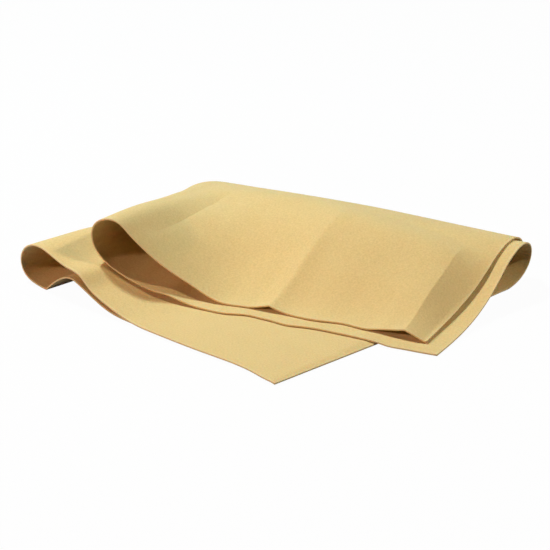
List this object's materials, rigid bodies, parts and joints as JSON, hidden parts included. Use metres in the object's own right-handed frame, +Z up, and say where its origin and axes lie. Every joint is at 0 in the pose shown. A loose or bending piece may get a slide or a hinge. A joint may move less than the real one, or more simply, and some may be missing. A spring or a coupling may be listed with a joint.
{
  "type": "chamois leather",
  "caption": "Tan chamois leather for wiping and drying, a thin rectangular cloth folded over itself, with open rolls along its folds; the upper half opens about the back fold.",
  "frame": {"origin": "on the table, under the middle of the folded cloth's box", "axes": "+X to the right along the folded cloth's longer side, +Y to the back fold, +Z up"},
  "size_m": [0.3612, 0.325, 0.0566],
  "materials": {
    "chamois": "matt napped suede, the same on both faces, with clean pale cut edges"
  },
  "bodies": {
    "lower": {"third_panel": "chamois", "lower_roll": "chamois", "bottom_panel": "chamois", "outer_fold_lower": "chamois", "corner_fold_lower": "chamois", "inner_fold_lower": "chamois"},
    "upper": {"top_panel": "chamois", "upper_roll": "chamois", "second_panel": "chamois", "outer_fold_upper": "chamois", "corner_fold_upper": "chamois", "inner_fold_upper": "chamois"}
  },
  "joints": [
    {"name": "back_fold", "type": "hinge", "parent": "lower", "child": "upper", "pos_m": [0.05759, 0.10829, 0.0202], "axis": [-0.8486, 0.5285, -0.0232], "range_deg": [0, 165]}
  ]
}
